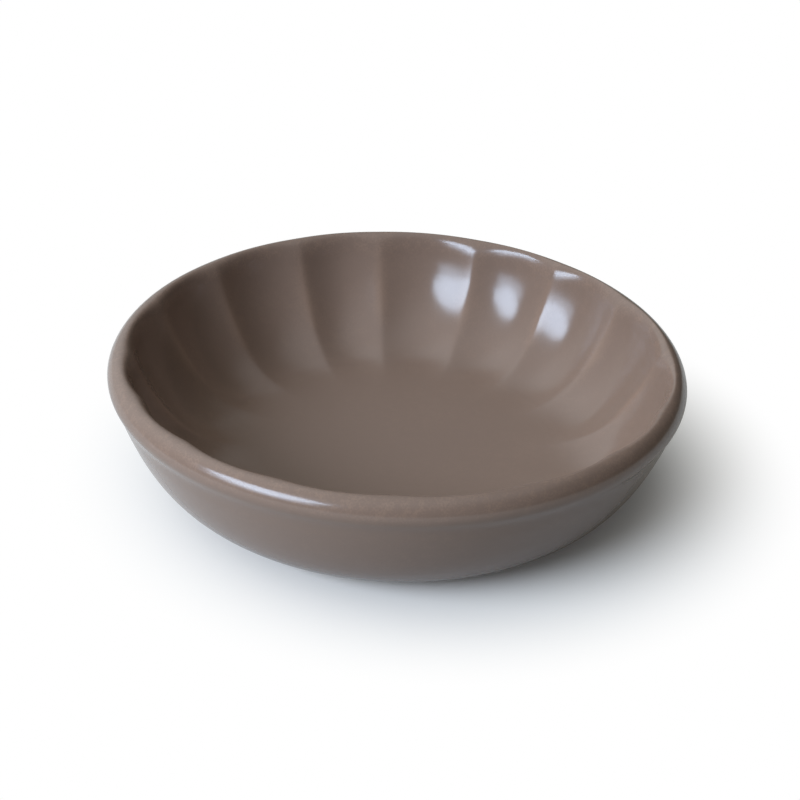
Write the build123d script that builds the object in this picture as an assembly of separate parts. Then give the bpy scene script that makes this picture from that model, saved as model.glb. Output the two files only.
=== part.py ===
"""A soy sauce dish: one body of fired clay with soft flutes inside, under three coats of glaze.

Sizes are in millimetres. The dish stands on its foot ring at z = 0, with its axis on Z.
Sections are drawn as (radius, height) on the XZ plane and turned about Z.
"""
import os
from math import pi, radians, sin, sqrt, tan

from build123d import *

# Rim: a round bead that stands out a little over the wall
RIM_DIAMETER = 100.0         # across the widest part of the bead
RIM_HEIGHT = 24.4            # from the table to the crest of the bead
BEAD_RADIUS = 1.95           # roundness of the bead, seen in section
BEAD_OVERHANG = 0.95         # how far the bead stands out over the wall

# Flutes: scooped side by side into the wall of the well, by a rod with a round end
FLUTE_COUNT = 16
FLUTE_RADIUS = 23.9          # roundness of a flute, both across and from rim to floor
FLUTE_DIP = 1.6              # how far the round end would pass under the floor
FLUTE_WALL = 2.8             # from the deepest part of a flute to the outside of the bead
FIRST_RIDGE_ANGLE = 95.1     # the ridge between two flutes that is nearest to +Y, degrees

# Lip: a plain flare that takes the tops of the ridges down
LIP_WALL = 2.75              # from the flare to the outside of the bead, at the crest's height
LIP_SLOPE = 63.0             # steepness of the flare, degrees

# Floor and foot
FLOOR_HEIGHT = 4.75          # from the table to the floor of the well
FOOT_DIAMETER = 65.4         # across the foot ring, where the wall meets the table
FOOT_RING_WIDTH = 5.0        # bare ring that stands on the table
FOOT_EDGE_RADIUS = 0.4       # softened edges of the ring
RECESS_DEPTH = 1.0           # hollow inside the ring

# Glaze
GLAZE_THICKNESS = 0.35
GLAZE_LINE_HEIGHT = 1.3      # the outside coat stops this far above the table
RECESS_GLAZE_MARGIN = 1.2    # bare clay between the ring and the coat in the recess

# Length by which the forms that are cut away pass out through the top
RUN_OUT = 3.0

# Places that follow from the sizes above
RIM_RADIUS = RIM_DIAMETER / 2
FOOT_RADIUS = FOOT_DIAMETER / 2
RECESS_RADIUS = FOOT_RADIUS - FOOT_RING_WIDTH
BEAD_ACROSS = RIM_RADIUS - BEAD_RADIUS
BEAD_UP = RIM_HEIGHT - BEAD_RADIUS

# The clay's wall is one arc, upright beside the bead's centre, that ends at the foot.
WALL_RUN = RIM_RADIUS - BEAD_OVERHANG - GLAZE_THICKNESS - FOOT_RADIUS
WALL_RADIUS = (WALL_RUN ** 2 + BEAD_UP ** 2) / (2 * WALL_RUN)
WALL_ACROSS = FOOT_RADIUS + WALL_RUN - WALL_RADIUS

FLUTE_UP = FLOOR_HEIGHT - FLUTE_DIP + FLUTE_RADIUS
FLUTE_REACH = sqrt(FLUTE_RADIUS ** 2 - max(FLUTE_UP - BEAD_UP, 0) ** 2)
FLUTE_ACROSS = RIM_RADIUS - FLUTE_WALL - FLUTE_REACH

UPRIGHT = (Align.CENTER, Align.CENTER, Align.MIN)


def turned(*edges):
    """The solid that a closed section makes when it is turned about the dish's axis."""
    return revolve(Plane.XZ * make_face(Curve() + list(edges)), Axis.Z)


def wall_point(coat, height):
    """The point of the outside wall at a height, with a coat of a thickness on the clay."""
    return (WALL_ACROSS + sqrt((WALL_RADIUS + coat) ** 2 - (BEAD_UP - height) ** 2), height)


def wall_arc(coat, low, high):
    """The outside wall between two heights."""
    return ThreePointArc(wall_point(coat, low), wall_point(coat, (low + high) / 2), wall_point(coat, high))


def bead_radius(coat):
    """Roundness of the bead, with a coat of a thickness on the clay."""
    return BEAD_RADIUS - GLAZE_THICKNESS + coat


def crease_height(coat):
    """Where the wall meets the underside of the bead."""
    apart = BEAD_ACROSS - WALL_ACROSS
    wall = WALL_RADIUS + coat
    along = (apart ** 2 + wall ** 2 - bead_radius(coat) ** 2) / (2 * apart)
    return BEAD_UP - sqrt(wall ** 2 - along ** 2)


def bead_outline(coat):
    """The bead from the crease round the outside and over the crest, then level to the axis."""
    radius = bead_radius(coat)
    crease = wall_point(coat, crease_height(coat))
    crest = (BEAD_ACROSS, BEAD_UP + radius)
    inner_side = (BEAD_ACROSS - radius, BEAD_UP)
    return [
        ThreePointArc(crease, (BEAD_ACROSS + radius, BEAD_UP), crest),
        RadiusArc(crest, inner_side, -radius),
        Line(inner_side, (0, BEAD_UP)),
    ]


def flute_scoop(radius, floor):
    """What one flute takes away: the outer side of a round-ended rod, down to the floor."""
    top = RIM_HEIGHT + RUN_OUT - FLUTE_UP
    rod = turned(
        RadiusArc((0, -radius), (radius, 0), -radius),
        Polyline((radius, 0), (radius, radius), (0, radius), (0, -radius)),
    )
    half_width = RIM_RADIUS * tan(pi / FLUTE_COUNT)
    side = Box(radius, 2 * half_width, top + FLUTE_UP - floor, align=(Align.MIN, Align.CENTER, Align.MAX))
    return Rot(0, 0, 180) * rod & Pos(0, 0, top) * side


def lip_flare(bare):
    """What the flare of the lip takes away, from the height of the crease upwards."""
    low = crease_height(GLAZE_THICKNESS)
    spread = 1 / tan(radians(LIP_SLOPE))
    crest_radius = RIM_RADIUS - LIP_WALL + bare / sin(radians(LIP_SLOPE))
    low_radius = crest_radius - (RIM_HEIGHT - low) * spread
    top_radius = crest_radius + RUN_OUT * spread
    return Pos(0, 0, low) * Cone(low_radius, top_radius, RIM_HEIGHT + RUN_OUT - low, align=UPRIGHT)


def well(coat):
    """The space inside the dish, over the clay or over a coat on it."""
    bare = GLAZE_THICKNESS - coat
    floor = FLOOR_HEIGHT - bare
    core_radius = FLUTE_ACROSS + sqrt(2 * FLUTE_RADIUS * FLUTE_DIP) / 2
    core = Pos(0, 0, floor) * Cylinder(core_radius, RIM_HEIGHT + RUN_OUT - floor, align=UPRIGHT)
    scoop = Pos(0, 0, FLUTE_UP) * flute_scoop(FLUTE_RADIUS + bare, floor)
    places = PolarLocations(FLUTE_ACROSS, FLUTE_COUNT, FIRST_RIDGE_ANGLE + 180 / FLUTE_COUNT)
    return core + [lip_flare(bare), *(place * scoop for place in places)]


def clay_body():
    """Fired clay, bare only at the foot: the recess, the foot ring, the wall and the bead."""
    section = make_face(Curve() + [
        Polyline((0, BEAD_UP), (0, RECESS_DEPTH), (RECESS_RADIUS, RECESS_DEPTH), (RECESS_RADIUS, 0)),
        Line((RECESS_RADIUS, 0), (FOOT_RADIUS, 0)),
        wall_arc(0, 0, crease_height(0)),
        *bead_outline(0),
    ])
    corners = section.vertices().filter_by(lambda corner: corner.X > 0 and corner.Y <= RECESS_DEPTH)
    edge_radius = min(FOOT_EDGE_RADIUS, RECESS_DEPTH / 2)
    return revolve(Plane.XZ * fillet(corners, edge_radius), Axis.Z) - well(0)


def inside_glaze(clay):
    """The coat over the well, its flutes and the bead, as far as the crease under the bead."""
    # The form's own underside runs through the middle of the clay, and goes with the clay.
    middle = -(FLUTE_WALL - BEAD_OVERHANG - 2 * GLAZE_THICKNESS) / 2
    low = (RECESS_DEPTH + FLOOR_HEIGHT - GLAZE_THICKNESS) / 2
    crease = crease_height(GLAZE_THICKNESS)
    form = turned(
        Polyline((0, BEAD_UP), (0, low), wall_point(middle, low)),
        wall_arc(middle, low, crease),
        Line(wall_point(middle, crease), wall_point(GLAZE_THICKNESS, crease)),
        *bead_outline(GLAZE_THICKNESS),
    )
    return form - well(GLAZE_THICKNESS) - clay


def outside_glaze():
    """The coat on the outside wall, from the crease down to a bare band above the table."""
    crease = crease_height(GLAZE_THICKNESS)
    return turned(
        wall_arc(0, GLAZE_LINE_HEIGHT, crease),
        Line(wall_point(0, crease), wall_point(GLAZE_THICKNESS, crease)),
        wall_arc(GLAZE_THICKNESS, GLAZE_LINE_HEIGHT, crease),
        Line(wall_point(GLAZE_THICKNESS, GLAZE_LINE_HEIGHT), wall_point(0, GLAZE_LINE_HEIGHT)),
    )


def recess_glaze():
    """The coat under the base, inside the foot ring."""
    disc = Cylinder(RECESS_RADIUS - RECESS_GLAZE_MARGIN, GLAZE_THICKNESS, align=UPRIGHT)
    return Pos(0, 0, RECESS_DEPTH - GLAZE_THICKNESS) * disc


def main():
    """Make each node and write it to its own file."""
    clay = clay_body()
    nodes = {
        "clay_body": clay,
        "inside_glaze": inside_glaze(clay),
        "outside_glaze": outside_glaze(),
        "recess_glaze": recess_glaze(),
    }
    os.makedirs("parts", exist_ok=True)
    for name, shape in nodes.items():
        export_step(shape, f"parts/{name}.step")
        print(name, len(shape.solids()), "solid", round(shape.volume, 1), "mm3", len(shape.faces()), "faces")


main()
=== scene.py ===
"""A soy sauce dish with a fluted well and a rolled rim, in a satin brown glaze over clay."""

import math

import bpy
from mathutils import Matrix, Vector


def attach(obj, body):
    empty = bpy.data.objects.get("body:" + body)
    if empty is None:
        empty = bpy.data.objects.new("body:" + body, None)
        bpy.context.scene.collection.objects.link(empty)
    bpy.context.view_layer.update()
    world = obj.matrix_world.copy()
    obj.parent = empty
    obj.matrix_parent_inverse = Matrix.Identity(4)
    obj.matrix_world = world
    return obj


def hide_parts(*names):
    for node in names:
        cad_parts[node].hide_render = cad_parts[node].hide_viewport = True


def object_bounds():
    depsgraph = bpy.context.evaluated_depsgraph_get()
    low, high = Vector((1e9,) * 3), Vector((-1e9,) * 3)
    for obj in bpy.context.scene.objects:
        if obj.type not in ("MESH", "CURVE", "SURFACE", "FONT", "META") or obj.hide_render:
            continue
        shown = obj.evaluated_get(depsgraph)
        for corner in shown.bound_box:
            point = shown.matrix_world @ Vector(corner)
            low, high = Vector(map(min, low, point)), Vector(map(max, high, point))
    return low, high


bl_info = {
    "name": "Fluted Soy Sauce Dish",
    "version": (1, 0, 0),
    "blender": (4, 5, 0),
    "location": "View3D > Sidebar > Dish",
    "description": "Builds a fluted, glazed soy sauce dish and the white table it stands on",
    "category": "Object",
}

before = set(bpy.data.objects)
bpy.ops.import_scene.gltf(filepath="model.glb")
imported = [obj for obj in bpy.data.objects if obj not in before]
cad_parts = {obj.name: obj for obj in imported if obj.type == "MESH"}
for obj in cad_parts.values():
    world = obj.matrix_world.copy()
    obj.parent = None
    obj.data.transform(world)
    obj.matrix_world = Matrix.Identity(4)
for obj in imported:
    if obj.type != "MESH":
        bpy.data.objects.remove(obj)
CAD_BOX = [list(corner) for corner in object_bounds()]
MM = 0.001

# Half section of the glazed surface on a dish of 100 mm, as control points of smooth
# curves: millimetres from the axis and above the table. The well has one curve along
# the ridges and one along the middle of the flutes, point for point.
DRAWN_DIAMETER = 100.0
RIDGE_LINE = (
    (0.0, 4.54), (8.0, 4.57), (16.0, 4.65), (22.0, 4.76), (26.2, 4.89), (29.6, 5.18),
    (32.8, 5.92), (35.65, 7.3), (38.25, 9.45), (40.55, 12.3), (42.5, 15.3), (44.0, 18.1),
    (44.95, 20.5), (45.45, 22.0), (45.9, 23.0), (46.37, 23.75), (46.8, 24.2), (47.35, 24.48),
    (47.9, 24.52), (48.5, 24.32),
)
FLUTE_LINE = (
    (0.0, 4.54), (8.0, 4.57), (16.0, 4.65), (22.0, 4.75), (26.4, 4.85), (29.95, 4.99),
    (33.2, 5.38), (36.3, 6.5), (39.15, 8.65), (41.6, 11.55), (43.6, 14.65), (45.1, 17.7),
    (46.1, 20.25), (46.45, 21.75), (46.72, 22.8), (47.02, 23.6), (47.3, 24.12), (47.65, 24.45),
    (48.1, 24.52), (48.6, 24.32),
)
RIM_AND_WALL = (
    (49.12, 23.95), (49.6, 23.37), (49.95, 22.75), (50.18, 22.1), (50.25, 21.45), (50.1, 20.75),
    (49.75, 20.1), (49.35, 19.4), (48.95, 18.4), (48.4, 16.7), (47.75, 15.1), (46.8, 12.8),
    (45.5, 10.15), (43.8, 7.4), (41.8, 5.05), (39.45, 3.0), (36.6, 1.45),
)
CURVE_STEPS = 6        # points along each span of a curve
LIP_SPANS = 3          # spans over which the well turns into the rim
CREASE_HEIGHT = 19.9   # the crease under the rim, where the inner and outer coats meet
GLAZE_EDGE = 0.08      # thickness of the glaze at the glaze line
GLAZE_TAPER = 1.6      # length over which it thins out to that
FULL_FLUTE = 1.25      # depth of the flutes halfway up the wall

# Foot of the clay below the glaze line, and the glazed patch in its recess
FOOT = (
    (34.7, 0.66), (33.5, 0.25), (32.6, 0.03), (32.1, 0.0), (28.1, 0.0), (27.75, 0.12),
    (27.65, 0.45), (27.4, 0.85), (26.9, 1.0), (0.0, 1.0),
)
RECESS_PATCH = (
    (0.0, 1.0), (26.5, 1.0), (26.45, 0.82), (26.2, 0.69), (25.7, 0.65), (0.0, 0.65),
)

# How far each cut ridge strays from its even place, going round from the first, in degrees
FIRST_RIDGE = 95.1
RIDGE_DRIFT = (
    0.6, -2.0, -1.6, -2.5, -1.1, -3.8, -5.5, -5.2, -5.1, -2.8, -2.8, -3.6, 0.5, 2.5, 1.2, 0.3,
)
DRIFT_RANGE = 10.0     # the curve through them spans this much both ways

# Mesh of a turned piece
STEPS_AROUND = 256
WELL_STEPS_AROUND = 384
RIDGE_CROWDING = 0.6   # how far the steps crowd together at the ridges, from none at 0
SEAM_GAP = 0.01 * MM   # points closer than this become one
SHARP_ANGLE = 40.0     # degrees between the faces at a sharp edge

# Where the glaze changes, in millimetres
RIM_BAND = (20.6, 23.6)      # height over which the rim's stronger mottle and slight painted lightening begin
RIDGE_BAND = (6.0, 14.0)     # height over which the ridges' thin glaze and painted glint begin
FLOOR_EDGE = (20.0, 37.0)    # from the axis, where the satin floor gives way to the glossy wall

# Finish of the glaze
WALL_ROUGHNESS = 0.18
FLOOR_ROUGHNESS = 0.42

# Table and the part of it that shows the shadow, which a painted white glow lifts a little near the
# dish and fades into plain white further out, in metres
TABLE_HALF = 1.5
TABLE_DROP = 0.02 * MM
SHADOW_MIDDLE = (7.0 * MM, 4.5 * MM, 0.0)
SHADOW_EDGE = (37.0 * MM, 68.0 * MM)

# Window, as two panes of light: name, height in metres and elevation in degrees
PANES = (("sky", 0.23, 30.0), ("street", 0.13, 19.5))
WINDOW_WIDTH = 0.65
WINDOW_DISTANCE = 0.8
WINDOW_AZIMUTH = -140.0
WINDOW_COLOUR = (0.65, 0.79, 1.0)

# Room: the ways to the middle of the wall and of the ceiling, and the tint of their light
WALL_WAY = (-0.6, 0.6, 0.53)
CEILING_WAY = (-0.2, -0.15, 0.968)
ROOM_TINT = (0.88, 0.96, 1.0, 1.0)
WHITE = (1.0, 1.0, 1.0, 1.0)

# Camera, in degrees and metres
FIELD_OF_VIEW = 22.0
SENSOR_WIDTH = 36.0    # millimetres
CAMERA_ELEVATION = 29.63
CAMERA_ROLL = 2.18
CAMERA_DISTANCE = 361.95 * MM
CAMERA_SHIFT = (0.00425, -0.002)
AIM_HEIGHT = 15.0 * MM


class DishShape(bpy.types.PropertyGroup):
    """Sizes of the dish."""

    diameter: bpy.props.FloatProperty(
        name="Diameter",
        description="Across the rolled rim",
        default=CAD_BOX[1][0] - CAD_BOX[0][0],
        subtype="DISTANCE",
        unit="LENGTH",
    )
    flutes: bpy.props.IntProperty(
        name="Flutes",
        description="Hollows cut side by side round the wall of the well",
        default=16,
        min=3,
    )
    first_ridge: bpy.props.FloatProperty(
        name="First Ridge",
        description="Angle of one ridge between two flutes",
        default=math.radians(FIRST_RIDGE),
        subtype="ANGLE",
        unit="ROTATION",
    )
    flute_depth: bpy.props.FloatProperty(
        name="Flute Depth",
        description="Share of the drawn depth to which the flutes are cut",
        default=1.0,
        min=0.0,
        subtype="FACTOR",
    )
    ridge_softness: bpy.props.FloatProperty(
        name="Ridge Softness",
        description="How far the glaze rounds the ridges, from sharp at 0",
        default=0.16,
        min=0.01,
        subtype="FACTOR",
    )
    drift: bpy.props.FloatProperty(
        name="Ridge Drift",
        description="Share of the uneven spacing that comes from cutting by hand",
        default=1.0,
        min=0.0,
        max=1.0,
        subtype="FACTOR",
    )
    sway: bpy.props.FloatProperty(
        name="Rim Sway",
        description="How far the rim rises at the front and back and dips at the sides",
        default=0.3 * MM,
        subtype="DISTANCE",
        unit="LENGTH",
    )
    well_offset: bpy.props.FloatVectorProperty(
        name="Well Offset",
        description="How far the well sits off the middle of the rim, to the right and the back",
        default=(0.25 * MM, 0.25 * MM),
        size=2,
        subtype="TRANSLATION",
        unit="LENGTH",
    )
    glaze: bpy.props.FloatProperty(
        name="Glaze Thickness",
        description="Thickness of the glaze coats",
        default=0.35 * MM,
        subtype="DISTANCE",
        unit="LENGTH",
    )


class DishColours(bpy.types.PropertyGroup):
    """Colours of the glaze, the clay and the table."""

    glaze: bpy.props.FloatVectorProperty(
        name="Glaze",
        description="The glaze where it lies thick",
        default=(0.253, 0.165, 0.119),
        size=3,
        min=0.0,
        max=1.0,
        subtype="COLOR",
    )
    # This lighter colour also paints a glint along the ridges and a slight lightening on the rim,
    # which are painted light.
    thin_glaze_and_glint: bpy.props.FloatVectorProperty(
        name="Thin Glaze",
        description="The glaze on the rim and the ridges, where the clay shows through",
        default=(0.330, 0.210, 0.146),
        size=3,
        min=0.0,
        max=1.0,
        subtype="COLOR",
    )
    clay: bpy.props.FloatVectorProperty(
        name="Clay",
        description="The fired clay of the bare foot",
        default=(0.41, 0.275, 0.185),
        size=3,
        min=0.0,
        max=1.0,
        subtype="COLOR",
    )
    table: bpy.props.FloatVectorProperty(
        name="Table",
        description="The white table",
        default=(0.985, 0.93, 0.85),
        size=3,
        min=0.0,
        max=1.0,
        subtype="COLOR",
    )


class DishLight(bpy.types.PropertyGroup):
    """Light on the dish."""

    sky: bpy.props.FloatProperty(
        name="Sky",
        description="Power of the upper part of the window to the front left, in watts",
        default=6.0,
        min=0.0,
    )
    street: bpy.props.FloatProperty(
        name="Street",
        description="Power of the duller lower part of the window, in watts",
        default=1.4,
        min=0.0,
    )
    ceiling: bpy.props.FloatProperty(
        name="Ceiling",
        description="Strength of the light from the ceiling near the window",
        default=0.68,
        min=0.0,
    )
    backdrop: bpy.props.FloatProperty(
        name="Backdrop",
        description="Strength of the light from the wall to the back left",
        default=0.85,
        min=0.0,
    )
    room: bpy.props.FloatProperty(
        name="Room",
        description="Strength of the light from the rest of the room",
        default=0.02,
        min=0.0,
    )


class Value:
    """A socket that takes part in Python sums, which become Math nodes of its tree."""

    def __init__(self, graph, socket):
        self.graph = graph
        self.socket = socket

    def output(self, name):
        """Another output of the same node."""
        return Value(self.graph, self.socket.node.outputs[name])

    def math(self, operation, *others):
        """A Math node with this value first."""
        inputs = dict(enumerate((self,) + others))
        return self.graph.add("ShaderNodeMath", {"operation": operation}, inputs)

    def after(self, operation, other):
        """A Math node with this value second."""
        return self.graph.add("ShaderNodeMath", {"operation": operation}, {0: other, 1: self})

    def step(self, low, high, start=0.0, end=1.0):
        """A smooth change from start to end as this value goes from low to high."""
        inputs = {0: self, 1: low, 2: high, 3: start, 4: end}
        return self.graph.add("ShaderNodeMapRange", {"interpolation_type": "SMOOTHSTEP"}, inputs)

    def __add__(self, other):
        return self.math("ADD", other)

    def __radd__(self, other):
        return self.after("ADD", other)

    def __sub__(self, other):
        return self.math("SUBTRACT", other)

    def __rsub__(self, other):
        return self.after("SUBTRACT", other)

    def __mul__(self, other):
        return self.math("MULTIPLY", other)

    def __rmul__(self, other):
        return self.after("MULTIPLY", other)

    def __truediv__(self, other):
        return self.math("DIVIDE", other)

    def __rtruediv__(self, other):
        return self.after("DIVIDE", other)

    def __pow__(self, other):
        return self.math("POWER", other)

    def __rpow__(self, other):
        return self.after("POWER", other)


class Graph:
    """A node tree that is filled in from Python."""

    def __init__(self, tree):
        self.tree = tree

    def add(self, kind, settings, inputs, out=0):
        """A node of that kind, its settings first and then its sockets, as a Value."""
        node = self.tree.nodes.new(kind)
        for name, setting in settings.items():
            if name == "points":
                self.set_points(node.mapping, setting)
            else:
                setattr(node, name, setting)
        for key, given in inputs.items():
            if isinstance(given, Value):
                self.tree.links.new(given.socket, node.inputs[key])
            else:
                node.inputs[key].default_value = given
        return Value(self, node.outputs[out] if len(node.outputs) else None)

    def set_points(self, mapping, points):
        """Puts points of (place, height) on a float curve, in order."""
        curve = mapping.curves[0]
        while len(curve.points) < len(points):
            curve.points.new(1.0, 1.0)
        for point, place in zip(curve.points, points):
            point.location = place
        mapping.update()

    def mix(self, mask, first, second):
        """Colour first where the mask is 0 and second where it is 1."""
        settings = {"data_type": "RGBA", "clamp_factor": True}
        return self.add("ShaderNodeMix", settings, {0: mask, 6: first, 7: second}, 2)

    def dot(self, way, towards):
        """How far a way points in the given direction, from -1 to 1."""
        settings = {"operation": "DOT_PRODUCT"}
        return self.add("ShaderNodeVectorMath", settings, {0: way, 1: towards}, "Value")

    def noise(self, place, size, detail):
        """Noise from 0 to 1 whose lumps are about size metres across."""
        inputs = {"Vector": place, "Scale": 1.0 / size, "Detail": detail}
        return self.add("ShaderNodeTexNoise", {}, inputs)


def rgba(colour):
    """A colour property with full alpha."""
    return (colour[0], colour[1], colour[2], 1.0)


def smooth_line(points, steps):
    """Points along a cubic B-spline that starts at the first point and ends at the last."""
    before = [2.0 * a - b for a, b in zip(points[0], points[1])]
    after = [2.0 * a - b for a, b in zip(points[-1], points[-2])]
    control = [before, *points, after]
    line = []
    for i in range(len(control) - 3):
        for step in range(steps):
            t = step / steps
            weights = (
                (1.0 - t) ** 3 / 6.0,
                (3.0 * t ** 3 - 6.0 * t ** 2 + 4.0) / 6.0,
                (-3.0 * t ** 3 + 3.0 * t ** 2 + 3.0 * t + 1.0) / 6.0,
                t ** 3 / 6.0,
            )
            four = control[i:i + 4]
            line.append(tuple(sum(w * p[k] for w, p in zip(weights, four)) for k in (0, 1)))
    line.append(tuple(points[-1]))
    return line


def smoothstep(low, high, x):
    """0 below low, 1 above high, smooth between."""
    t = min(max((x - low) / (high - low), 0.0), 1.0)
    return t * t * (3.0 - 2.0 * t)


class Section:
    """The half section of the dish in millimetres, glaze and clay, as rows of two points.

    The first point of a row lies on a ridge of the well and the second in a flute, and
    its last value is 1 where the row belongs to the well.
    """

    def __init__(self, shape):
        self.glaze = shape.glaze / MM
        self.ridge = smooth_line(RIDGE_LINE + RIM_AND_WALL, CURVE_STEPS)
        self.flute = smooth_line(FLUTE_LINE + RIM_AND_WALL, CURVE_STEPS)
        self.last = len(self.ridge) - 1
        self.top = (len(RIDGE_LINE) - 1) * CURVE_STEPS
        self.lip = self.top - LIP_SPANS * CURVE_STEPS
        rim = max(range(self.last), key=lambda i: self.ridge[i][0])
        self.crease = next(i for i in range(rim, self.last) if self.ridge[i][1] < CREASE_HEIGHT)

    def clay_point(self, line, i):
        """The point on the clay under point i of the glaze, which thins out at its edge."""
        r, z = line[i]
        full = smoothstep(0.0, GLAZE_TAPER, math.dist(line[i], line[-1]))
        depth = GLAZE_EDGE + (self.glaze - GLAZE_EDGE) * full
        if i == 0:
            return (0.0, z - depth)
        r0, z0 = line[i - 1]
        r1, z1 = line[min(i + 1, self.last)]
        length = math.hypot(r1 - r0, z1 - z0)
        return (r + depth * (z1 - z0) / length, z - depth * (r1 - r0) / length)

    def inner(self, i):
        """1 for a row in the well, 0 for one outside and smooth over the top of the rim."""
        return 1.0 - smoothstep(0.0, 1.0, (i - self.lip) / (self.top - self.lip))

    def upper(self, first, last):
        """Rows along the glaze."""
        return [(self.ridge[i], self.flute[i], self.inner(i)) for i in range(first, last + 1)]

    def lower(self, first, last):
        """Rows along the clay under the glaze."""
        rows = []
        for i in range(first, last + 1):
            points = [self.clay_point(line, i) for line in (self.ridge, self.flute)]
            rows.append((*points, self.inner(i)))
        return rows

    def inside_coat(self):
        """From the middle of the floor over the rim to the crease and back underneath."""
        return self.upper(0, self.crease) + self.lower(0, self.crease)[::-2]

    def outside_coat(self):
        """From the crease down to the glaze line and back underneath, closed."""
        rows = self.upper(self.crease, self.last) + self.lower(self.crease, self.last)[::-1]
        return rows + rows[:1]

    def clay(self):
        """The clay under the glaze, then the bare foot and its recess."""
        return self.lower(0, self.last) + [(point, point, 0.0) for point in FOOT]

    def recess_coat(self):
        """The glazed patch in the recess."""
        return [(point, point, 0.0) for point in RECESS_PATCH]


def stray_angle(graph, even, share):
    """How far the ridges stray at an even angle, as a curve once round the dish."""
    strays = []
    for i, stray in enumerate(RIDGE_DRIFT):
        turns = (FIRST_RIDGE / 360.0 + i / len(RIDGE_DRIFT)) % 1.0
        strays.append((turns, 0.5 + 0.5 * stray / DRIFT_RANGE))
    strays.sort()
    ends = 0.5 * (strays[0][1] + strays[-1][1])
    points = [(0.0, ends), *strays, (1.0, ends)]
    around = (even / math.tau).math("FRACT")
    stray = graph.add("ShaderNodeFloatCurve", {"points": points}, {"Value": around})
    return (stray * 2.0 - 1.0) * share * math.radians(DRIFT_RANGE)


def flute_hollow(along, soft):
    """0 on a ridge, where along is a whole number, and 1 in the middle of a flute."""
    swing = (along * math.pi).math("SINE")
    deep = (swing * swing + soft * soft).math("SQRT") - soft
    return deep / ((soft * soft + 1.0).math("SQRT") - soft)


def finished_piece(graph, geometry, material):
    """Closes the seam and the poles, shades the piece and gives it its material."""
    near = {"Geometry": geometry, "Distance": SEAM_GAP}
    closed = graph.add("GeometryNodeMergeByDistance", {}, near)
    smooth = graph.add("GeometryNodeSetShadeSmooth", {"domain": "FACE"}, {"Geometry": closed})
    corner = graph.add("GeometryNodeInputMeshEdgeAngle", {}, {}, "Unsigned Angle")
    sharp = corner.math("GREATER_THAN", math.radians(SHARP_ANGLE))
    edged = {"Geometry": smooth, "Selection": sharp, "Shade Smooth": False}
    shaded = graph.add("GeometryNodeSetShadeSmooth", {"domain": "EDGE"}, edged)
    real = graph.add("GeometryNodeRealizeInstances", {}, {"Geometry": shaded})
    return graph.add("GeometryNodeSetMaterial", {}, {"Geometry": real, "Material": material})


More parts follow.
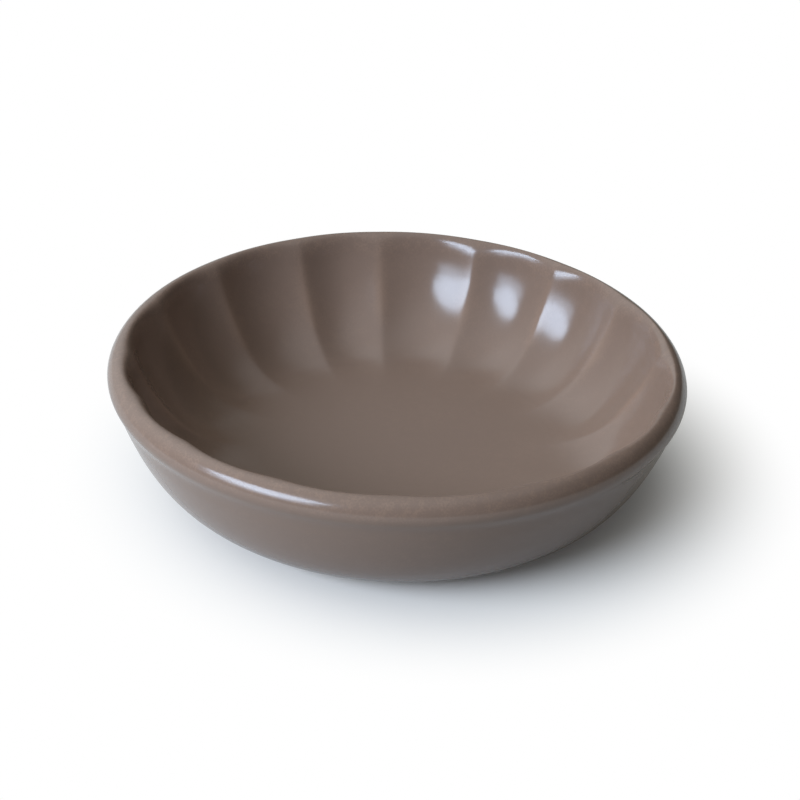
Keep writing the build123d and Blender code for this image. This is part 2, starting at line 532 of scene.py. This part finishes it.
def turning_tree():
    """Geometry Nodes that turn a half section about the axis and cut the flutes into it."""
    tree = bpy.data.node_groups.new("Turned and fluted", "GeometryNodeTree")
    tree.is_modifier = True
    kinds = {
        "Section": "NodeSocketGeometry",
        "Steps Around": "NodeSocketInt",
        "Flutes": "NodeSocketInt",
        "First Ridge": "NodeSocketFloat",
        "Ridge Softness": "NodeSocketFloat",
        "Ridge Drift": "NodeSocketFloat",
        "Rim Sway": "NodeSocketFloat",
        "Rim Height": "NodeSocketFloat",
        "Rim Radius": "NodeSocketFloat",
        "Flute Depth": "NodeSocketFloat",
        "Well Offset": "NodeSocketVector",
        "Material": "NodeSocketMaterial",
    }
    names = {}
    for name, kind in kinds.items():
        socket = tree.interface.new_socket(name, in_out="INPUT", socket_type=kind)
        names[name] = socket.identifier
    tree.interface.new_socket("Piece", in_out="OUTPUT", socket_type="NodeSocketGeometry")
    graph = Graph(tree)
    section = graph.add("NodeGroupInput", {}, {}, "Section")
    steps = section.output("Steps Around")

    # A grid with one row for each point of the section and one column for each step around
    rows = graph.add("GeometryNodeAttributeDomainSize", {}, {"Geometry": section}, "Point Count")
    columns = steps + 1.0
    grid = graph.add("GeometryNodeMeshGrid", {}, {"Vertices X": rows, "Vertices Y": columns})
    index = graph.add("GeometryNodeInputIndex", {}, {})
    row = ((index + 0.5) / columns).math("FLOOR")

    def at_row(kind, value):
        """What a value of the section is at this row's point."""
        sampled = {"Geometry": section, "Value": value, "Index": row}
        return graph.add("GeometryNodeSampleIndex", {"data_type": kind}, sampled)

    def named(kind, name):
        """A named attribute of the section."""
        return graph.add("GeometryNodeInputNamedAttribute", {"data_type": kind}, {"Name": name})

    point = at_row("FLOAT_VECTOR", graph.add("GeometryNodeInputPosition", {}, {}))
    cut = at_row("FLOAT_VECTOR", named("FLOAT_VECTOR", "flute_cut"))
    inner = at_row("FLOAT", named("FLOAT", "in_well"))
    across = graph.add("ShaderNodeSeparateXYZ", {}, {0: point}, "X")
    height = across.output("Z")
    cut_across = graph.add("ShaderNodeSeparateXYZ", {}, {0: cut}, "X")
    cut_down = cut_across.output("Z")

    # The columns stand closer at the ridges, and each ridge strays a little from its even place
    flutes = section.output("Flutes")
    along = (index - row * columns) / steps * flutes
    along = along - (along * math.tau).math("SINE") * (RIDGE_CROWDING / math.tau)
    even = section.output("First Ridge") + along * math.tau / flutes
    angle = even + stray_angle(graph, even, section.output("Ridge Drift"))

    # Each flute is a rounded hollow from ridge to ridge, and the rim sways up and down
    hollow = flute_hollow(along, section.output("Ridge Softness")) * section.output("Flute Depth")
    wide = across + cut_across * hollow
    sway = (height / section.output("Rim Height")) ** 2.0 * (across / section.output("Rim Radius"))
    sway = sway * section.output("Rim Sway") * (angle * 2.0).math("COSINE")
    high = height + cut_down * hollow - sway
    place = {"X": wide * angle.math("COSINE"), "Y": wide * angle.math("SINE"), "Z": high}
    turned = graph.add("ShaderNodeCombineXYZ", {}, place)

    # The well sits a little off the middle of the rim
    offset = {0: section.output("Well Offset"), "Scale": inner}
    shift = graph.add("ShaderNodeVectorMath", {"operation": "SCALE"}, offset)
    turned = graph.add("ShaderNodeVectorMath", {"operation": "ADD"}, {0: turned, 1: shift})
    moved = graph.add("GeometryNodeSetPosition", {}, {"Geometry": grid, "Position": turned})

    # The ridges are marked for the glaze, which is painted lighter there, partly as thin glaze and
    # partly as a painted glint
    depth = graph.add("ShaderNodeVectorMath", {"operation": "LENGTH"}, {0: cut}, "Value")
    ridge = (1.0 - hollow) * depth / (FULL_FLUTE * MM)
    kept = {"Geometry": moved, "Name": "ridge", "Value": ridge}
    marked = graph.add("GeometryNodeStoreNamedAttribute", {"data_type": "FLOAT"}, kept)
    piece = finished_piece(graph, marked, section.output("Material"))
    graph.add("NodeGroupOutput", {}, {"Piece": piece})
    return tree, names


def turn(name, rows, steps, material, node):
    """Turns the rows of a half section into a named piece that stands for a CAD node."""
    shape = bpy.context.scene.dish_shape
    scale = shape.diameter / DRAWN_DIAMETER
    line = bpy.data.meshes.new("section")
    edges = [(i, i + 1) for i in range(len(rows) - 1)]
    line.from_pydata([(row[0][0] * scale, 0.0, row[0][1] * scale) for row in rows], edges, [])
    line.attributes.new("flute_cut", "FLOAT_VECTOR", "POINT")
    line.attributes.new("in_well", "FLOAT", "POINT")
    cut = line.attributes["flute_cut"].data
    well = line.attributes["in_well"].data
    for i, (ridge, flute, inner) in enumerate(rows):
        cut[i].vector = ((flute[0] - ridge[0]) * scale, 0.0, (flute[1] - ridge[1]) * scale)
        well[i].value = inner
    blank = bpy.data.objects.new("section", line)
    bpy.context.scene.collection.objects.link(blank)
    tree, names = turning_tree()
    lathe = blank.modifiers.new("Turn", "NODES")
    lathe.node_group = tree
    settings = {
        "Steps Around": steps,
        "Flutes": shape.flutes,
        "First Ridge": shape.first_ridge,
        "Ridge Softness": shape.ridge_softness,
        "Ridge Drift": shape.drift,
        "Rim Sway": shape.sway,
        "Rim Height": CAD_BOX[1][2],
        "Rim Radius": shape.diameter / 2.0,
        "Flute Depth": shape.flute_depth,
        "Well Offset": (*shape.well_offset, 0.0),
        "Material": material,
    }
    for label, setting in settings.items():
        lathe[names[label]] = setting
    graph = bpy.context.evaluated_depsgraph_get()
    turned = blank.evaluated_get(graph)
    mesh = bpy.data.meshes.new_from_object(turned, preserve_all_data_layers=True, depsgraph=graph)
    if not mesh.polygons:
        raise RuntimeError("no surface came out of the section of " + name)
    mesh.name = name
    blank.modifiers.remove(lathe)
    bpy.data.objects.remove(blank)
    bpy.data.meshes.remove(line)
    bpy.data.node_groups.remove(tree)
    piece = bpy.data.objects.new(name, mesh)
    bpy.context.scene.collection.objects.link(piece)
    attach(piece, "root")
    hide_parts(node)


def new_material(name):
    """A material and its empty graph, or no graph where the material is there already."""
    material = bpy.data.materials.get(name)
    if material:
        return material, None
    material = bpy.data.materials.new(name)
    material.use_nodes = True
    material.node_tree.nodes.clear()
    return material, Graph(material.node_tree)


def brown_glaze():
    """Satin glaze with a faint mottle and specks, lighter and browner along the ridges, partly as
    thin glaze and partly as a painted glint, and a little lighter on the rim as painted light.
    """
    material, graph = new_material("brown glaze")
    if graph is None:
        return material
    colours = bpy.context.scene.dish_colours
    place = graph.add("ShaderNodeTexCoord", {}, {}, "Object")
    x = graph.add("ShaderNodeSeparateXYZ", {}, {0: place}, "X")
    y = x.output("Y")
    across = (x * x + y * y).math("SQRT") / MM
    height = x.output("Z") / MM
    cloud = graph.noise(place, 14.0 * MM, 3.0)
    fine = graph.noise(place, 1.6 * MM, 3.0)
    grain = graph.noise(place, 0.35 * MM, 1.0)
    grit = graph.noise(place, 0.03 * MM, 0.0)

    # Lighter, browner colour along the ridges, partly thin glaze and partly a painted glint, a slight
    # painted lightening on the rim, and a mottle that is strongest on the rim
    ridge = graph.add("ShaderNodeAttribute", {"attribute_name": "ridge"}, {}, "Fac")
    rim = height.step(*RIM_BAND)
    # Painted light: the ridges high on the wall are lightened as a glint, and the rim slightly.
    painted_glint_and_thin_glaze = rim * 0.1 + ridge ** 5.0 * height.step(*RIDGE_BAND) * 0.6
    mottle = (fine - 0.5) * (0.4 + rim) + (grain - 0.5) * (0.5 + rim)
    glint_and_mottle = painted_glint_and_thin_glaze + (cloud - 0.5) * 0.4 + mottle
    body = graph.mix(glint_and_mottle, rgba(colours.glaze), rgba(colours.thin_glaze_and_glint))
    dark = [0.55 * c for c in colours.glaze]
    speckled = graph.mix(grain.step(0.7, 0.8) * 0.2, body, rgba(dark))

    # Satin floor with a fine grit, glossy wall and a skin that swells a little
    satin = across.step(*FLOOR_EDGE, 1.0, 0.0)
    dulled = FLOOR_ROUGHNESS - WALL_ROUGHNESS + (grit - 0.5) * 0.4
    rough = WALL_ROUGHNESS + satin * dulled + (cloud - 0.5) * 0.02
    swell = graph.noise(place, 2.4 * MM, 1.0)
    bumped = {"Strength": 0.06, "Distance": 0.2 * MM, "Height": swell}
    normal = graph.add("ShaderNodeBump", {}, bumped)
    inputs = {"Base Color": speckled, "Roughness": rough, "Normal": normal, "IOR": 1.47}
    surface = graph.add("ShaderNodeBsdfPrincipled", {}, inputs)
    graph.add("ShaderNodeOutputMaterial", {}, {"Surface": surface})
    return material


def bare_clay():
    """Matt fired clay with a sandy grain and a few dark specks."""
    material, graph = new_material("bare clay")
    if graph is None:
        return material
    colours = bpy.context.scene.dish_colours
    place = graph.add("ShaderNodeTexCoord", {}, {}, "Object")
    cloud = graph.noise(place, 9.0 * MM, 3.0)
    sand = graph.noise(place, 0.4 * MM, 2.0)
    dark = [0.55 * c for c in colours.clay]
    body = graph.mix(cloud * 0.35 + sand * 0.25, rgba(colours.clay), rgba(dark))
    speck = (0.05, 0.035, 0.025, 1.0)
    speckled = graph.mix(sand.step(0.68, 0.76) * 0.6, body, speck)
    bumped = {"Strength": 0.3, "Distance": 0.1 * MM, "Height": sand}
    normal = graph.add("ShaderNodeBump", {}, bumped)
    rough = 0.82 + 0.12 * sand
    inputs = {"Base Color": speckled, "Roughness": rough, "Normal": normal}
    surface = graph.add("ShaderNodeBsdfPrincipled", {}, inputs)
    graph.add("ShaderNodeOutputMaterial", {}, {"Surface": surface})
    return material


def white_table():
    """White table that shows the shadow near the dish, lifted a little by a painted white glow, and
    plain white further out.
    """
    material, graph = new_material("white table")
    if graph is None:
        return material
    colours = bpy.context.scene.dish_colours
    place = graph.add("ShaderNodeTexCoord", {}, {}, "Object")
    ends = {0: place, 1: SHADOW_MIDDLE}
    far = graph.add("ShaderNodeVectorMath", {"operation": "DISTANCE"}, ends, "Value")
    path = graph.add("ShaderNodeLightPath", {}, {}, "Is Camera Ray")
    straight = path.math("MAXIMUM", path.output("Is Transmission Ray"))
    seen = straight.math("MAXIMUM", path.output("Is Glossy Ray"))
    dull = [0.4 * c for c in colours.table]
    white = graph.mix(seen, rgba(dull), rgba(colours.table))
    matt = graph.add("ShaderNodeBsdfDiffuse", {}, {"Color": white})
    glow = graph.add("ShaderNodeEmission", {}, {"Color": WHITE, "Strength": 1.0})
    shown = straight.math("MAXIMUM", path.output("Is Glossy Ray") * 0.1)
    # Painted light: the camera sees a white glow that lifts the shadow by 0.045 near the dish and
    # fades it into plain white between the two radii.
    mask = shown * far.step(*SHADOW_EDGE, 0.045, 1.0)
    surface = graph.add("ShaderNodeMixShader", {}, {0: mask, 1: matt, 2: glow})
    graph.add("ShaderNodeOutputMaterial", {}, {"Surface": surface})
    return material


def lay_table(scene):
    """A wide white table just under the foot ring."""
    half = TABLE_HALF
    corners = ((-half, -half), (half, -half), (half, half), (-half, half))
    mesh = bpy.data.meshes.new("table")
    mesh.from_pydata([(x, y, -TABLE_DROP) for x, y in corners], [], [(0, 1, 2, 3)])
    mesh.materials.append(white_table())
    table = bpy.data.objects.new("table", mesh)
    scene.collection.objects.link(table)


def hang_window(scene):
    """The panes of the window to the front left, turned towards the dish."""
    powers = {"sky": scene.dish_light.sky, "street": scene.dish_light.street}
    for name, tall, elevation in PANES:
        lamp = bpy.data.lights.new(name, "AREA")
        lamp.shape = "ELLIPSE"
        lamp.size = WINDOW_WIDTH
        lamp.size_y = tall
        lamp.energy = powers[name]
        lamp.color = WINDOW_COLOUR
        pane = bpy.data.objects.new(name, lamp)
        pane.matrix_world = (
            Matrix.Rotation(math.radians(WINDOW_AZIMUTH + 90.0), 4, "Z")
            @ Matrix.Rotation(math.radians(90.0 - elevation), 4, "X")
            @ Matrix.Translation((0.0, 0.0, WINDOW_DISTANCE))
        )
        scene.collection.objects.link(pane)


def light_room(scene):
    """Soft light from the wall and the ceiling, while the camera sees plain white."""
    light = scene.dish_light
    world = bpy.data.worlds.new("room")
    world.use_nodes = True
    world.node_tree.nodes.clear()
    graph = Graph(world.node_tree)
    way = graph.add("ShaderNodeTexCoord", {}, {}, "Generated")
    wall = graph.dot(way, WALL_WAY).step(0.6, 1.0) * (light.backdrop - light.room)
    above = graph.dot(way, CEILING_WAY).step(0.5, 1.0) * (light.ceiling - light.room)
    path = graph.add("ShaderNodeLightPath", {}, {}, "Is Camera Ray")
    shown = path.math("MAXIMUM", path.output("Is Transmission Ray"))
    shown = shown.math("MAXIMUM", path.output("Is Glossy Ray") * 0.05)
    colour = graph.mix(shown, ROOM_TINT, WHITE)
    strength = (wall + above + light.room) * (1.0 - shown) + shown
    glow = graph.add("ShaderNodeBackground", {}, {"Color": colour, "Strength": strength})
    graph.add("ShaderNodeOutputWorld", {}, {"Surface": glow})
    scene.world = world


def set_camera(scene):
    """The camera in front of the dish, looking down at it."""
    lens = bpy.data.cameras.new("camera")
    lens.sensor_width = SENSOR_WIDTH
    lens.lens = SENSOR_WIDTH / 2.0 / math.tan(math.radians(FIELD_OF_VIEW / 2.0))
    lens.shift_x, lens.shift_y = CAMERA_SHIFT
    lens.clip_start = 0.01
    camera = bpy.data.objects.new("camera", lens)
    camera.matrix_world = (
        Matrix.Translation((0.0, 0.0, AIM_HEIGHT))
        @ Matrix.Rotation(math.radians(90.0 - CAMERA_ELEVATION), 4, "X")
        @ Matrix.Rotation(math.radians(CAMERA_ROLL), 4, "Z")
        @ Matrix.Translation((0.0, 0.0, CAMERA_DISTANCE))
    )
    scene.collection.objects.link(camera)
    scene.camera = camera
    scene.view_settings.view_transform = "Standard"


class DISH_OT_clay(bpy.types.Operator):
    """Turn the clay of the dish, with its foot ring and recess"""

    bl_idname = "dish.clay"
    bl_label = "Clay"

    def execute(self, context):
        rows = Section(context.scene.dish_shape).clay()
        turn("clay_dish", rows, STEPS_AROUND, bare_clay(), "clay_body")
        return {"FINISHED"}


class DISH_OT_glaze(bpy.types.Operator):
    """Lay the glaze over the well and the rim, down the outer wall and in the recess"""

    bl_idname = "dish.glaze"
    bl_label = "Glaze"

    def execute(self, context):
        section = Section(context.scene.dish_shape)
        coats = (
            ("well_coat", section.inside_coat(), WELL_STEPS_AROUND, "inside_glaze"),
            ("wall_coat", section.outside_coat(), STEPS_AROUND, "outside_glaze"),
            ("foot_coat", section.recess_coat(), STEPS_AROUND, "recess_glaze"),
        )
        for name, rows, steps, node in coats:
            turn(name, rows, steps, brown_glaze(), node)
        return {"FINISHED"}


class DISH_OT_stage(bpy.types.Operator):
    """Set the white table, the window light and the camera"""

    bl_idname = "dish.stage"
    bl_label = "Stage"

    def execute(self, context):
        lay_table(context.scene)
        hang_window(context.scene)
        light_room(context.scene)
        set_camera(context.scene)
        return {"FINISHED"}


class DISH_PT_panel(bpy.types.Panel):
    """Sizes, colours and steps of the dish"""

    bl_idname = "DISH_PT_panel"
    bl_label = "Dish"
    bl_space_type = "VIEW_3D"
    bl_region_type = "UI"
    bl_category = "Dish"

    def draw(self, context):
        layout = self.layout
        for group in (context.scene.dish_shape, context.scene.dish_colours, context.scene.dish_light):
            column = layout.column()
            for name in group.__annotations__:
                column.prop(group, name)
        for step in ("dish.clay", "dish.glaze", "dish.stage"):
            layout.operator(step)


CLASSES = (
    DishShape,
    DishColours,
    DishLight,
    DISH_OT_clay,
    DISH_OT_glaze,
    DISH_OT_stage,
    DISH_PT_panel,
)


def register():
    """Adds the classes and the dish's settings on the scene."""
    for kind in CLASSES:
        bpy.utils.register_class(kind)
    bpy.types.Scene.dish_shape = bpy.props.PointerProperty(type=DishShape)
    bpy.types.Scene.dish_colours = bpy.props.PointerProperty(type=DishColours)
    bpy.types.Scene.dish_light = bpy.props.PointerProperty(type=DishLight)


def unregister():
    """Takes the settings and the classes away again."""
    del bpy.types.Scene.dish_light
    del bpy.types.Scene.dish_colours
    del bpy.types.Scene.dish_shape
    for kind in reversed(CLASSES):
        bpy.utils.unregister_class(kind)


def main():
    """Builds the dish and its stage."""
    register()
    bpy.ops.dish.clay()
    bpy.ops.dish.glaze()
    bpy.ops.dish.stage()


if __name__ == "__main__":
    main()
